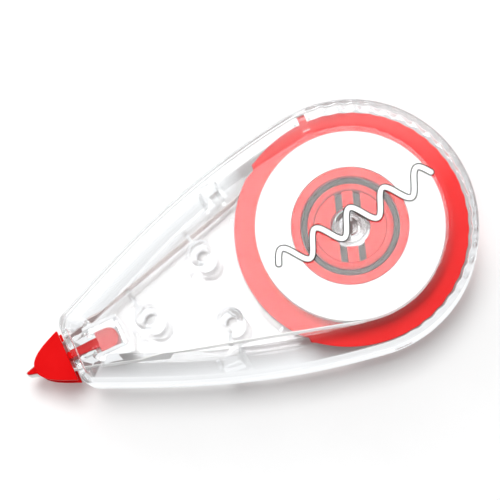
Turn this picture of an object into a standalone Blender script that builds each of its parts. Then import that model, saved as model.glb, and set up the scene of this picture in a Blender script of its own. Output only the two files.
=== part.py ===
"""A coaxial correction tape roller, lying on its back shell.

Two clear teardrop shells hold a supply reel and a take-up reel one above the other on the same
axle. White correction tape leaves the supply reel, runs under the wedge of the red applicator tip,
and returns as bare ribbon to the take-up reel behind it. Units are metres, +Z is up. The origin is
on the reel axle at the outside of the back shell, and the tip points along -X.
"""

import math

import bmesh
import bpy
from mathutils import Matrix, Vector

MM = 0.001

# Casing: its plan is a circle round the reels that runs out to a blunt nose.
CASE_RADIUS = 21.1 * MM
CASE_HEIGHT = 15.0 * MM
CASE_WALL = 1.2 * MM
NOSE_X = -50.4 * MM
ROUND_END_ANGLE = 98
SHOULDER = (-44.0 * MM, 8.6 * MM)
SHOULDER_SLOPE = 0.44
ROUND_HANDLE = 18.0 * MM
SHOULDER_HANDLE = 12.0 * MM
NOSE_CORNER = 1.4 * MM
BEVEL_WIDTH = 3.9 * MM
BEVEL_DROP = 2.0 * MM
SPLIT_Z = CASE_HEIGHT / 2
SPLIT_GAP = 0.3 * MM
PLATE_OVERLAP = 0.6 * MM

# Tape and reels, from the axle outwards.
TAPE_WIDTH = 5.0 * MM
RIBBON_THICKNESS = 0.12 * MM
AXLE_RADIUS = 2.95 * MM
AXLE_BORE = 1.75 * MM
REEL_BORE = 3.3 * MM
RETAINER_RADIUS = 5.9 * MM
HUB_INNER = 6.05 * MM
HUB_OUTER = 7.05 * MM
O_RING_RADIUS = 7.6 * MM
O_RING_SECTION = 0.45 * MM
CORE_INNER = 8.2 * MM
CORE_OUTER = 9.65 * MM
ROLL_INNER = 9.75 * MM
ROLL_OUTER = 15.6 * MM
DRUM_INNER = 14.7 * MM
DRUM_OUTER = 15.9 * MM
WOUND_INNER = 16.0 * MM
WOUND_OUTER = 16.4 * MM
FLANGE_RADIUS = 19.4 * MM

# Heights of the reel stack above the outside of the back shell.
DRUM_BOTTOM = 1.5 * MM
FLANGE_BOTTOM = 7.0 * MM
FLANGE_TOP = 7.6 * MM
HUB_TOP = 12.9 * MM
CORE_BOTTOM = 8.2 * MM
CORE_TOP = 13.4 * MM
SUPPLY_MID_Z = 10.85 * MM
TAKEUP_MID_Z = 4.25 * MM

# Applicator tip: a wedge between two ogive cheeks, on a flat neck with an anchor head.
TIP_NOSE_X = -58.2 * MM
TIP_NOSE_RADIUS = 0.25 * MM
TIP_BASE_X = -51.1 * MM
CHEEK_END_X = -56.9 * MM
CHEEK_HALF_WIDTH = 4.5 * MM
CHEEK_THICKNESS = 1.0 * MM
TAPE_SIDE_GAP = 0.15 * MM
NECK_HALF_WIDTH = 0.6 * MM
NECK_ROOT_HALF_WIDTH = 0.85 * MM
HEAD_FRONT_X = -45.7 * MM
HEAD_BACK_X = -42.2 * MM
HEAD_HALF_WIDTH = 1.7 * MM
STEM_HEIGHT = 4.6 * MM

# Cradle in each shell round the neck and head.
CRADLE_FRONT_X = -49.0 * MM
JAW_BACK_X = -46.1 * MM
POCKET_BACK_X = -41.6 * MM
JAW_INNER = 1.35 * MM
JAW_OUTER = 2.1 * MM
POCKET_INNER = 2.15 * MM
POCKET_OUTER = 2.75 * MM

# Guard wall beside the reel flange, between the two ribbon runs.
GUARD_RADIUS = 19.9 * MM
GUARD_HALF_THICKNESS = 0.3 * MM
GUARD_HALF_ANGLE = 30
GUARD_TOP = 6.4 * MM

# Assembly posts between the shells.
POST_CENTRES = ((-24.2 * MM, 6.0 * MM), (-24.2 * MM, -6.0 * MM), (-36.3 * MM, 0.0))
POST_RADIUS = 1.9 * MM
POST_BORE = 1.3 * MM
PIN_RADIUS = 1.0 * MM
PIN_BASE_RADIUS = 2.2 * MM

ROUND_STEPS = 64
SMALL_STEPS = 32

parts = bpy.data.collections.new("correction_tape_roller")
helpers = bpy.data.collections.new("cutters")


def clear_scene():
    """Empties the scene and links the two collections the model uses."""
    for found in list(bpy.data.objects):
        bpy.data.objects.remove(found)
    bpy.context.scene.collection.children.link(parts)
    bpy.context.scene.collection.children.link(helpers)


def plastic(name, colour, roughness, alpha=1.0):
    """A Principled material with one plain colour."""
    made = bpy.data.materials.new(name)
    made.use_nodes = True
    shader = made.node_tree.nodes["Principled BSDF"]
    shader.inputs["Base Color"].default_value = (*colour, 1.0)
    shader.inputs["Roughness"].default_value = roughness
    shader.inputs["Metallic"].default_value = 0.0
    shader.inputs["Alpha"].default_value = alpha
    made.diffuse_color = (*colour, alpha)
    return made


def add_object(name, mesh, material, collection=None):
    made = bpy.data.objects.new(name, mesh)
    (collection or parts).objects.link(made)
    if material:
        mesh.materials.append(material)
    return made


def mesh_from(bm, name):
    """Turns a bmesh into a mesh with outward normals and round shading."""
    bmesh.ops.recalc_face_normals(bm, faces=bm.faces)
    mesh = bpy.data.meshes.new(name)
    bm.to_mesh(mesh)
    bm.free()
    mesh.shade_smooth()
    mesh.set_sharp_from_angle(angle=math.radians(35))
    return mesh


def as_helper(obj):
    """Marks an object that only cuts or joins, so it isn't a part of its own."""
    obj.hide_render = True
    obj.display_type = "WIRE"
    return obj


def box(name, low, high):
    """A helper box between two corners."""
    bm = bmesh.new()
    centre = (Vector(low) + Vector(high)) / 2
    size = Vector(high) - Vector(low)
    bmesh.ops.create_cube(bm, size=1.0, matrix=Matrix.Translation(centre) @ Matrix.Diagonal((*size, 1.0)))
    return as_helper(add_object(name, mesh_from(bm, name), None, helpers))


def cylinder(name, centre, radius, bottom, top, steps=SMALL_STEPS):
    """A helper cylinder standing on Z."""
    bm = bmesh.new()
    place = Matrix.Translation((centre[0], centre[1], (bottom + top) / 2))
    bmesh.ops.create_cone(
        bm, cap_ends=True, segments=steps, radius1=radius, radius2=radius, depth=top - bottom, matrix=place
    )
    return as_helper(add_object(name, mesh_from(bm, name), None, helpers))


def combine(obj, operation, others):
    """Adds one Boolean for each helper, in the order given."""
    for other in others:
        modifier = obj.modifiers.new(f"{operation.lower()}_{other.name}", "BOOLEAN")
        modifier.operation = operation
        modifier.solver = "EXACT"
        modifier.object = other
    return obj


def turned(name, profile, material, steps=ROUND_STEPS):
    """Revolves a closed profile of (radius, height) points that starts down its outer side."""
    bm = bmesh.new()
    corners = [bm.verts.new((radius, 0.0, height)) for radius, height in profile]
    for first, second in zip(corners, corners[1:] + corners[:1]):
        bm.edges.new((first, second))
    mesh = bpy.data.meshes.new(name)
    bm.to_mesh(mesh)
    bm.free()
    made = add_object(name, mesh, material)
    screw = made.modifiers.new("screw", "SCREW")
    screw.axis = "Z"
    screw.steps = steps
    screw.render_steps = steps
    screw.use_merge_vertices = True
    screw.merge_threshold = 0.001 * MM
    screw.use_smooth_shade = True
    return made


def ring_profile(outer, inner, bottom, top):
    """A rectangular ring section."""
    return [(outer, top), (outer, bottom), (inner, bottom), (inner, top)]


def chamfered_profile(outer, inner, bottom, top, chamfer):
    """A ring section with both top edges chamfered."""
    return [
        (outer - chamfer, top),
        (outer, top - chamfer),
        (outer, bottom),
        (inner, bottom),
        (inner, top - chamfer),
        (inner + chamfer, top),
    ]


def arc(centre, radius, start, end, steps):
    """Points on an arc, angles in degrees."""
    angles = [math.radians(start + (end - start) * i / steps) for i in range(steps + 1)]
    return [(centre[0] + radius * math.cos(a), centre[1] + radius * math.sin(a)) for a in angles]


def bezier(start, start_handle, end_handle, end, steps):
    """Points on a cubic curve."""
    points = []
    for i in range(steps + 1):
        t = i / steps
        weights = ((1 - t) ** 3, 3 * t * (1 - t) ** 2, 3 * t * t * (1 - t), t**3)
        knots = (start, start_handle, end_handle, end)
        points.append(tuple(sum(w * k[axis] for w, k in zip(weights, knots)) for axis in (0, 1)))
    return points


def mirrored_outline(upper):
    """Closes an outline whose upper half runs from the +X end to the -X end."""
    lower = [(x, -y) for x, y in reversed(upper) if abs(y) > 1e-9]
    return upper + lower


def flank(inset):
    """One long side of the plan, drawn in by an inset, as far as the shoulder."""
    leave = math.radians(ROUND_END_ANGLE)
    start = Vector((math.cos(leave), math.sin(leave))) * CASE_RADIUS
    along = Vector((-math.sin(leave), math.cos(leave)))
    slope = shoulder_direction()
    shoulder = Vector(SHOULDER)
    start_handle = start + along * ROUND_HANDLE
    shoulder_handle = shoulder - slope * SHOULDER_HANDLE
    points = [Vector(p) for p in bezier(start, start_handle, shoulder_handle, shoulder, 40)]
    drawn_in = []
    for index, point in enumerate(points):
        ahead = points[min(index + 1, 40)] - points[max(index - 1, 0)]
        if index == 0:
            ahead = along
        if index == 40:
            ahead = slope
        inward = Vector((-ahead.y, ahead.x)).normalized()
        drawn_in.append(point + inward * inset)
    return drawn_in


def shoulder_direction():
    """Direction of the straight run from the shoulder to the nose."""
    return Vector((-1.0, -SHOULDER_SLOPE)).normalized()


def evenly_spaced(path, count):
    """The same path with evenly spaced points."""
    lengths = [(b - a).length for a, b in zip(path, path[1:])]
    total = sum(lengths)
    points = []
    index = 0
    passed = 0.0
    for step in range(count):
        wanted = total * step / (count - 1)
        while index < len(lengths) - 1 and passed + lengths[index] < wanted:
            passed += lengths[index]
            index += 1
        share = min((wanted - passed) / lengths[index], 1.0)
        points.append(path[index].lerp(path[index + 1], share))
    return points


def casing_outline(inset):
    """The teardrop plan drawn in by an inset: round end, gentle sides, small corners, flat nose."""
    round_end = arc((0, 0), CASE_RADIUS - inset, 0, ROUND_END_ANGLE, 24)
    side = flank(inset)
    slope = shoulder_direction()
    reach = (NOSE_X + inset - side[-1].x) / slope.x
    corner = side[-1] + slope * reach
    size = NOSE_CORNER - inset * 0.2
    turn_start = corner - slope * size
    turn_end = corner - Vector((0.0, size))
    run = evenly_spaced(side + [turn_start], 20)
    turn = bezier(turn_start, turn_start.lerp(corner, 0.6), turn_end.lerp(corner, 0.6), turn_end, 6)
    return mirrored_outline(round_end[:-1] + [tuple(point) for point in run] + turn[1:])


def teardrop_block(inset, floor_z, bevel_top_z, bevel_width, top_z):
    """A closed block with the casing's plan, drawn in by an inset and bevelled round its floor."""
    bm = bmesh.new()
    rows = []
    for drawn_in, z in ((inset + bevel_width, floor_z), (inset, bevel_top_z), (inset, top_z)):
        rows.append([bm.verts.new((x, y, z)) for x, y in casing_outline(drawn_in)])
    for low, high in zip(rows, rows[1:]):
        for index, corner in enumerate(low):
            after = (index + 1) % len(low)
            bm.faces.new((corner, low[after], high[after], high[index]))
    bmesh.ops.triangulate(bm, faces=[face for face in bm.faces])
    bm.faces.new(list(reversed(rows[0])))
    bm.faces.new(rows[-1])
    return bm


def inner_block(name, depth):
    """A helper that is everything deeper than the given depth below the casing's outer skin."""
    slope = BEVEL_DROP / BEVEL_WIDTH
    lift = depth * math.hypot(1.0, slope)
    floor_inset = (BEVEL_DROP + lift - depth) / slope
    rim_z = BEVEL_DROP + lift - depth * slope
    block = teardrop_block(depth, depth, rim_z, floor_inset - depth, CASE_HEIGHT)
    return as_helper(add_object(name, mesh_from(block, name), None, helpers))


def shell_body(name, material):
    """An open teardrop tray of even wall, its floor's outside at z = 0 and its edge bevelled."""
    block = teardrop_block(0.0, 0.0, BEVEL_DROP, BEVEL_WIDTH, SPLIT_Z - SPLIT_GAP / 2)
    shell = add_object(name, mesh_from(block, name), material)
    return combine(shell, "DIFFERENCE", [inner_block(f"{name}_hollow", CASE_WALL)])


def rooted(ribs, limit):
    """Trims each rib so it ends inside the thickness of the shell it stands on."""
    return [combine(rib, "INTERSECT", [limit]) for rib in ribs]


def prism(name, outline, bottom, top, bevel=0.0):
    """A helper slab with the given plan, made as a flat filled curve and then meshed."""
    curve = bpy.data.curves.new(name, "CURVE")
    curve.dimensions = "2D"
    curve.fill_mode = "BOTH"
    curve.extrude = (top - bottom) / 2
    spline = curve.splines.new("POLY")
    spline.points.add(len(outline) - 1)
    for point, (x, y) in zip(spline.points, outline):
        point.co = (x, y, 0, 1)
    spline.use_cyclic_u = True
    drawn = bpy.data.objects.new(f"{name}_curve", curve)
    drawn.location = (0, 0, (bottom + top) / 2)
    helpers.objects.link(drawn)
    bpy.context.view_layer.update()
    evaluated = drawn.evaluated_get(bpy.context.evaluated_depsgraph_get())
    bm = bmesh.new()
    bm.from_mesh(bpy.data.meshes.new_from_object(evaluated))
    bmesh.ops.remove_doubles(bm, verts=bm.verts, dist=0.001 * MM)
    bmesh.ops.transform(bm, matrix=drawn.matrix_world, verts=bm.verts)
    bmesh.ops.dissolve_limit(bm, angle_limit=math.radians(0.5), verts=bm.verts, edges=bm.edges)
    bpy.data.objects.remove(drawn)
    made = as_helper(add_object(name, mesh_from(bm, name), None, helpers))
    if bevel:
        edge = made.modifiers.new("edge", "BEVEL")
        edge.width = bevel
        edge.segments = 2
        edge.limit_method = "ANGLE"
        edge.angle_limit = math.radians(60)
    return made


def tip_cradle(name, limit):
    """A forked rib and a pad at the nose of a shell that hold the tip's anchor head."""
    top = SPLIT_Z - SPLIT_GAP / 2
    inner_half = (
        (CRADLE_FRONT_X, JAW_INNER),
        (JAW_BACK_X, JAW_INNER),
        (JAW_BACK_X, POCKET_INNER),
        (POCKET_BACK_X, POCKET_INNER),
    )
    outer_half = (
        (POCKET_BACK_X + 0.6 * MM, POCKET_OUTER),
        (JAW_BACK_X - 0.8 * MM, POCKET_OUTER),
        (JAW_BACK_X - 0.8 * MM, JAW_OUTER),
        (CRADLE_FRONT_X, JAW_OUTER),
    )
    outline = list(inner_half)
    outline += [(x, -y) for x, y in reversed(inner_half)]
    outline += [(x, -y) for x, y in reversed(outer_half)]
    outline += list(outer_half)
    pad_top = SPLIT_Z - STEM_HEIGHT / 2 - 0.3 * MM
    pad = box(f"{name}_head_pad", (-45.0 * MM, -0.8 * MM, 0), (-42.8 * MM, 0.8 * MM, pad_top))
    return rooted([prism(f"{name}_cradle", outline, 0, top), pad], limit)


def nose_opening(name):
    """The slot at the nose that lets the neck and both ribbon runs through."""
    low = (NOSE_X - 1.0 * MM, -3.4 * MM, 3.6 * MM)
    high = (NOSE_X + CASE_WALL + 0.3 * MM, 3.4 * MM, SPLIT_Z)
    return box(f"{name}_nose_opening", low, high)


def guard_outline():
    """Plan of the thin curved wall that keeps the ribbon off the reel flange."""
    first = 180 - GUARD_HALF_ANGLE
    last = 180 + GUARD_HALF_ANGLE
    outer = arc((0, 0), GUARD_RADIUS + GUARD_HALF_THICKNESS, first, last, 16)
    inner = arc((0, 0), GUARD_RADIUS - GUARD_HALF_THICKNESS, last, first, 16)
    return outer + inner


def latch_places():
    """Each inner snap latch: x along the side, which side, and half its width."""
    upper = (-19.0 * MM, 1, 1.5 * MM, 12.9 * MM, 16.75 * MM)
    lower = (-26.8 * MM, -1, 2.2 * MM, 10.3 * MM, 14.1 * MM)
    return (upper, lower)


def build_rear_shell(clear):
    """The lower shell: axle, pin sockets, tip cradle, latch ribs and the two rim notches."""
    shell = shell_body("rear_shell", clear)
    floor = CASE_WALL - PLATE_OVERLAP
    joined = [cylinder("rear_axle", (0, 0), AXLE_RADIUS, floor, 12.3 * MM, 40)]
    bored = [cylinder("rear_axle_bore", (0, 0), AXLE_BORE, 3.0 * MM, 13.0 * MM)]
    for index, centre in enumerate(POST_CENTRES):
        joined.append(cylinder(f"rear_post_{index}", centre, POST_RADIUS, floor, 8.0 * MM))
        bored.append(cylinder(f"rear_post_bore_{index}", centre, POST_BORE, 2.4 * MM, 9.0 * MM))
    limit = inner_block("rear_rib_limit", CASE_WALL - PLATE_OVERLAP)
    joined += tip_cradle("rear", limit)
    latches = []
    for index, (x, side, half, near, far) in enumerate(latch_places()):
        span = sorted((side * near, side * far))
        for end in (-1, 1):
            middle = x + end * half
            latches.append(
                box(
                    f"rear_latch_{index}_{end}",
                    (middle - 0.35 * MM, span[0], 0),
                    (middle + 0.35 * MM, span[1], 6.9 * MM),
                )
            )
    joined += rooted(latches, limit)
    joined.append(prism("rear_guard", guard_outline(), floor, GUARD_TOP))
    notches = [
        box(
            f"rear_notch_{side}",
            (-1.5 * MM, min(side * 18.8 * MM, side * 22.0 * MM), 5.0 * MM),
            (1.5 * MM, max(side * 18.8 * MM, side * 22.0 * MM), SPLIT_Z),
        )
        for side in (-1, 1)
    ]
    combine(shell, "UNION", joined)
    combine(shell, "DIFFERENCE", bored + notches + [nose_opening("rear")])
    return shell


def build_front_shell(clear):
    """The upper shell, built plate down and then turned over on top of the lower one."""
    shell = shell_body("front_shell", clear)
    floor = CASE_WALL - PLATE_OVERLAP
    joined = [
        cylinder("front_axle_pin", (0, 0), 1.4 * MM, floor, 10.5 * MM),
        cylinder("front_axle_collar", (0, 0), 2.6 * MM, floor, 2.3 * MM),
    ]
    for index, (x, y) in enumerate(POST_CENTRES):
        joined.append(cylinder(f"front_pin_base_{index}", (x, -y), PIN_BASE_RADIUS, floor, 6.7 * MM))
        joined.append(cylinder(f"front_pin_{index}", (x, -y), PIN_RADIUS, floor, 11.8 * MM))
    limit = inner_block("front_rib_limit", CASE_WALL - PLATE_OVERLAP)
    joined += tip_cradle("front", limit)
    joined.append(box("front_cross_rib", (-39.6 * MM, 1.0 * MM, floor), (-38.9 * MM, 4.8 * MM, 6.4 * MM)))
    joined.append(box("front_post_rib", (-27.2 * MM, -3.8 * MM, floor), (-26.5 * MM, -0.8 * MM, 6.0 * MM)))
    latches = []
    for index, (x, side, half, _, far) in enumerate(latch_places()):
        span = sorted((-side * (far - 1.75 * MM), -side * (far - 0.75 * MM)))
        reach = half - 0.65 * MM
        latches.append(box(f"front_latch_{index}", (x - reach, span[0], 0), (x + reach, span[1], 12.0 * MM)))
    latches.append(box("front_rim_rib", (-0.9 * MM, -20.6 * MM, 0), (0.8 * MM, -16.4 * MM, 6.5 * MM)))
    joined += rooted(latches, limit)
    for side in (-1, 1):
        span = sorted((side * 19.95 * MM, side * 21.0 * MM))
        low = (-1.2 * MM, span[0], BEVEL_DROP + 2.0 * MM)
        high = (1.2 * MM, span[1], CASE_HEIGHT - 5.3 * MM)
        joined.append(box(f"front_rim_tab_{side}", low, high))
    combine(shell, "UNION", joined)
    combine(shell, "DIFFERENCE", [nose_opening("front")])
    turn_over = Matrix.Translation((0, 0, CASE_HEIGHT)) @ Matrix.Rotation(math.pi, 4, "X")
    shell.matrix_world = turn_over
    for helper in helpers.objects:
        if helper.name.startswith("front_"):
            helper.matrix_world = turn_over
    return shell


def build_takeup_reel(red):
    """Drum behind, dividing flange, and the hub in front that carries the slip clutch."""
    profile = [
        (HUB_OUTER - 0.6 * MM, HUB_TOP),
        (HUB_OUTER, HUB_TOP - 0.6 * MM),
        (HUB_OUTER, FLANGE_TOP),
        (FLANGE_RADIUS, FLANGE_TOP),
        (FLANGE_RADIUS, FLANGE_BOTTOM),
        (DRUM_OUTER, FLANGE_BOTTOM),
        (DRUM_OUTER, DRUM_BOTTOM),
        (DRUM_INNER, DRUM_BOTTOM),
        (DRUM_INNER, FLANGE_BOTTOM),
        (4.5 * MM, FLANGE_BOTTOM),
        (4.5 * MM, DRUM_BOTTOM + 0.5 * MM),
        (REEL_BORE, DRUM_BOTTOM + 0.5 * MM),
        (REEL_BORE, FLANGE_TOP),
        (HUB_INNER, FLANGE_TOP),
        (HUB_INNER, HUB_TOP - 0.2 * MM),
    ]
    reel = turned("takeup_reel", profile, red)
    spokes = []
    for index in range(6):
        spoke = box(
            f"takeup_spoke_{index}",
            (4.1 * MM, -0.4 * MM, DRUM_BOTTOM + 1.5 * MM),
            (DRUM_INNER + 0.5 * MM, 0.4 * MM, FLANGE_BOTTOM + 0.3 * MM),
        )
        spoke.rotation_euler = (0, 0, math.radians(60 * index + 5))
        spokes.append(spoke)
    return combine(reel, "UNION", spokes)


def build_hub_retainer(red):
    """The cap that snaps over the axle, with two pairs of slits that free its springy tongues."""
    web_bottom = 11.2 * MM
    web_top = 12.2 * MM
    profile = [
        (RETAINER_RADIUS, web_top),
        (RETAINER_RADIUS, 8.2 * MM),
        (5.0 * MM, 8.2 * MM),
        (5.0 * MM, web_bottom),
        (REEL_BORE, web_bottom),
        (REEL_BORE, web_top),
    ]
    retainer = turned("hub_retainer", profile, red, 48)
    slits = []
    for index, (x, y) in enumerate(((-1.5, 1), (1.5, 1), (-1.5, -1), (1.5, -1))):
        span = sorted((y * 2.6 * MM, y * 5.6 * MM))
        slit = box(
            f"retainer_slit_{index}",
            ((x - 0.53) * MM, span[0], 10.0 * MM),
            ((x + 0.53) * MM, span[1], 13.0 * MM),
        )
        slit.rotation_euler = (0, 0, math.radians(-18.1))
        slits.append(slit)
    return combine(retainer, "DIFFERENCE", slits)


def torus(name, z, material):
    """A rubber ring round the hub."""
    bpy.ops.mesh.primitive_torus_add(
        location=(0, 0, z),
        major_radius=O_RING_RADIUS,
        minor_radius=O_RING_SECTION,
        major_segments=40,
        minor_segments=8,
    )
    made = bpy.context.active_object
    for collection in list(made.users_collection):
        collection.objects.unlink(made)
    parts.objects.link(made)
    made.name = name
    made.data.shade_smooth()
    made.data.materials.append(material)
    return made


def tangent(reel_radius, side):
    """Unit direction from tip to reel, and outward normal, of a ribbon run on the +Y or -Y side."""
    wrap = ribbon_nose_radius()
    climb = math.asin((reel_radius - wrap) / -TIP_NOSE_X)
    direction = Vector((math.cos(climb), side * math.sin(climb)))
    normal = Vector((-math.sin(climb), side * math.cos(climb)))
    return direction, normal


def ribbon_nose_radius():
    """Radius of the ribbon's middle where it turns round the wedge's edge."""
    return TIP_NOSE_RADIUS + 0.08 * MM + RIBBON_THICKNESS / 2


def ribbon(name, path, heights, material):
    """A ribbon that follows a path in plan, its middle at the given heights."""
    bm = bmesh.new()
    rows = [
        [bm.verts.new((x, y, z - TAPE_WIDTH / 2)), bm.verts.new((x, y, z + TAPE_WIDTH / 2))]
        for (x, y), z in zip(path, heights)
    ]
    for first, second in zip(rows, rows[1:]):
        bm.faces.new((first[0], second[0], second[1], first[1]))
    mesh = mesh_from(bm, name)
    made = add_object(name, mesh, material)
    solidify = made.modifiers.new("thickness", "SOLIDIFY")
    solidify.thickness = RIBBON_THICKNESS
    solidify.offset = 0.0
    return made


def build_run(name, wound_radius, side, reel_height, material):
    """One straight ribbon run, level beside the reel's flange and then drifting to the tip's height."""
    direction, normal = tangent(wound_radius, side)
    start = normal * wound_radius
    end_x = -50.6 * MM
    length = (start.x - end_x) / direction.x
    level = 12.0 * MM
    path = []
    heights = []
    for i in range(19):
        gone = length * i / 18
        point = start - direction * gone
        share = min(max((gone - level) / (length - level - 2.0 * MM), 0.0), 1.0)
        ease = share * share * (3 - 2 * share)
        path.append((point.x, point.y))
        heights.append(reel_height + (SPLIT_Z - reel_height) * ease)
    return ribbon(name, path, heights, material)


def build_tip_ribbon(material):
    """The ribbon that lies on both faces of the wedge and turns round its edge."""
    wrap = ribbon_nose_radius()
    direction, normal = tangent(ROLL_OUTER + 0.15 * MM, -1)
    reach = (TIP_BASE_X + 0.1 * MM - TIP_NOSE_X - wrap * normal.x) / direction.x
    lower = Vector((TIP_NOSE_X, 0)) + normal * wrap
    lower_end = lower + direction * reach
    turn = math.degrees(math.atan2(normal.y, normal.x))
    nose = arc((TIP_NOSE_X, 0), wrap, 360 + turn, -turn, 8)
    path = [tuple(lower_end)] + nose + [(lower_end.x, -lower_end.y)]
    return ribbon("tip_ribbon", path, [SPLIT_Z] * len(path), material)


def build_applicator_tip(red):
    """Wedge, two cheeks that keep the tape on it, flat neck and rounded anchor head, as one moulding."""
    direction, normal = tangent(ROLL_OUTER + 0.15 * MM, 1)
    touch = Vector((TIP_NOSE_X, 0)) + normal * TIP_NOSE_RADIUS
    reach = (TIP_BASE_X - touch.x) / direction.x
    top_corner = touch + direction * reach
    turn = math.degrees(math.atan2(normal.y, normal.x))
    wedge_outline = [(top_corner.x, top_corner.y)]
    wedge_outline += arc((TIP_NOSE_X, 0), TIP_NOSE_RADIUS, turn, 360 - turn, 8)
    wedge_outline += [(top_corner.x, -top_corner.y)]
    tape_half = TAPE_WIDTH / 2 + TAPE_SIDE_GAP
    wedge = prism("tip_wedge", wedge_outline, SPLIT_Z - tape_half - 0.4 * MM, SPLIT_Z + tape_half + 0.4 * MM)
    cheek_outline = mirrored_outline(
        bezier(
            (TIP_BASE_X, CHEEK_HALF_WIDTH),
            (TIP_BASE_X - 2.4 * MM, CHEEK_HALF_WIDTH - 1.05 * MM),
            (CHEEK_END_X + 0.6 * MM, 2.4 * MM),
            (CHEEK_END_X, 0.5 * MM),
            10,
        )
    )
    cheeks = []
    for side in (-1, 1):
        near = SPLIT_Z + side * tape_half
        far = SPLIT_Z + side * (tape_half + CHEEK_THICKNESS)
        low, high = sorted((near, far))
        cheeks.append(prism(f"tip_cheek_{side}", cheek_outline, low, high, bevel=0.25 * MM))
    head_mid = (HEAD_FRONT_X + HEAD_BACK_X) / 2
    stem_upper = bezier(
        (HEAD_BACK_X, 0.0),
        (HEAD_BACK_X, 1.3 * MM),
        (head_mid + 0.9 * MM, HEAD_HALF_WIDTH),
        (head_mid, HEAD_HALF_WIDTH),
        5,
    )
    stem_upper += [
        (HEAD_FRONT_X, HEAD_HALF_WIDTH),
        (HEAD_FRONT_X, NECK_ROOT_HALF_WIDTH),
        (TIP_BASE_X + 0.2 * MM, NECK_HALF_WIDTH),
        (TIP_BASE_X - 1.0 * MM, NECK_HALF_WIDTH),
    ]
    stem = prism(
        "tip_stem", mirrored_outline(stem_upper), SPLIT_Z - STEM_HEIGHT / 2, SPLIT_Z + STEM_HEIGHT / 2
    )
    tip_mesh = wedge.data.copy()
    tip = add_object("applicator_tip", tip_mesh, red)
    bpy.data.objects.remove(wedge)
    return combine(tip, "UNION", cheeks + [stem])


def build():
    clear_scene()
    clear = plastic("clear_polystyrene", (0.95, 0.97, 0.98), 0.05, alpha=0.3)
    red = plastic("red_plastic", (0.85, 0.02, 0.02), 0.3)
    rubber = plastic("black_rubber", (0.03, 0.03, 0.03), 0.7)
    white = plastic("correction_coating", (0.9, 0.9, 0.88), 0.6)
    film = plastic("bare_ribbon", (0.82, 0.84, 0.84), 0.3, alpha=0.7)
    acetal = plastic("white_acetal", (0.88, 0.88, 0.86), 0.4)

    build_rear_shell(clear)
    build_front_shell(clear)

    build_takeup_reel(red)
    build_hub_retainer(red)
    torus("clutch_ring_front", 11.5 * MM, rubber)
    torus("clutch_ring_rear", 9.5 * MM, rubber)
    turned("used_ribbon_roll", ring_profile(WOUND_OUTER, WOUND_INNER, 1.75 * MM, 6.75 * MM), film)
    turned("thrust_washer", ring_profile(4.4 * MM, REEL_BORE, 1.35 * MM, 1.85 * MM), acetal, 40)

    turned("slip_washer", ring_profile(9.2 * MM, HUB_OUTER + 0.15 * MM, 7.75 * MM, 8.0 * MM), acetal, 48)
    turned("supply_core", chamfered_profile(CORE_OUTER, CORE_INNER, CORE_BOTTOM, CORE_TOP, 0.2 * MM), red)
    turned(
        "correction_tape_roll",
        ring_profile(ROLL_OUTER, ROLL_INNER, SUPPLY_MID_Z - TAPE_WIDTH / 2, SUPPLY_MID_Z + TAPE_WIDTH / 2),
        white,
    )

    build_run("feed_strand", ROLL_OUTER + 0.15 * MM, -1, SUPPLY_MID_Z, white)
    build_run("return_strand", WOUND_OUTER + 0.15 * MM, 1, TAKEUP_MID_Z, film)
    build_tip_ribbon(white)
    build_applicator_tip(red)


build()
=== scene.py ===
"""The looks of a correction tape roller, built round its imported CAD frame.

The object lies on its back shell. The CAD's own frame is used throughout: +Z along the reel axle, and
the applicator tip towards -X. Sizes are in metres unless a comment says otherwise.
"""

import math

import bmesh
import bpy
import numpy as np
from mathutils import Matrix, Vector


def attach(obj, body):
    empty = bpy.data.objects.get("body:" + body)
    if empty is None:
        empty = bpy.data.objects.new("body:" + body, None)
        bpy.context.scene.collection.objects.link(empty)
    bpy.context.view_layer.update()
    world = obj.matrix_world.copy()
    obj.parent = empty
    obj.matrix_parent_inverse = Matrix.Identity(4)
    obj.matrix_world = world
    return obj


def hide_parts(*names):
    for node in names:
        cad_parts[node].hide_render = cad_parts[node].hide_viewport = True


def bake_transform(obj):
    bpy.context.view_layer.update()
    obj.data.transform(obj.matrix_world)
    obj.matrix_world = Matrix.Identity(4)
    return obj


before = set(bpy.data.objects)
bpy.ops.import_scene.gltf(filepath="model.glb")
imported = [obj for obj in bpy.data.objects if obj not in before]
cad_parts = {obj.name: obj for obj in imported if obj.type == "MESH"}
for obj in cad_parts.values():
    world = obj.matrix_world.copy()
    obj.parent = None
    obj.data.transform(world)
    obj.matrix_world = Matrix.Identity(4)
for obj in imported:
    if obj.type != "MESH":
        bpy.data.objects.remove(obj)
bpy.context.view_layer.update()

MM = 0.001

# Casing plan and section.
CASE_RADIUS = 21.08 * MM
CASE_HEIGHT = 14.97 * MM
CASE_BOTTOM = 0.02 * MM
CASE_WALL = 1.2 * MM
NOSE_X = -50.38 * MM
ROUND_END_ANGLE = 98.0
SHOULDER = (-44.0 * MM, 8.58 * MM)
SHOULDER_SLOPE = 0.44
NOSE_CORNER = 1.4 * MM
SEAM_Z = 7.5 * MM
SEAM_GAP = 0.06 * MM
BEVEL_WIDTH = 3.9 * MM
BEVEL_DROP = 2.0 * MM
RIPPLE = 0.12 * MM
RIPPLE_TURNS = 46.0
PLATE_INSIDE = 0.8 * MM

# Reels.
SUPPLY_MID_Z = 10.85 * MM
TAKEUP_MID_Z = 4.25 * MM
TAPE_WIDTH = 5.0 * MM
ROLL_OUTER = 15.6 * MM
WOUND_OUTER = 16.4 * MM
FLANGE_RADIUS = 19.38 * MM

# Tip.
TIP_NOSE_X = -58.2 * MM
TIP_NOSE_RADIUS = 0.2 * MM
TIP_BASE_X = -51.1 * MM
HEAD_MIDDLE_X = -43.95 * MM
HEAD_HALF = 2.3 * MM

POST_CENTRES = ((-24.2 * MM, 6.0 * MM), (-24.2 * MM, -6.0 * MM), (-36.3 * MM, 0.0))

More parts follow.
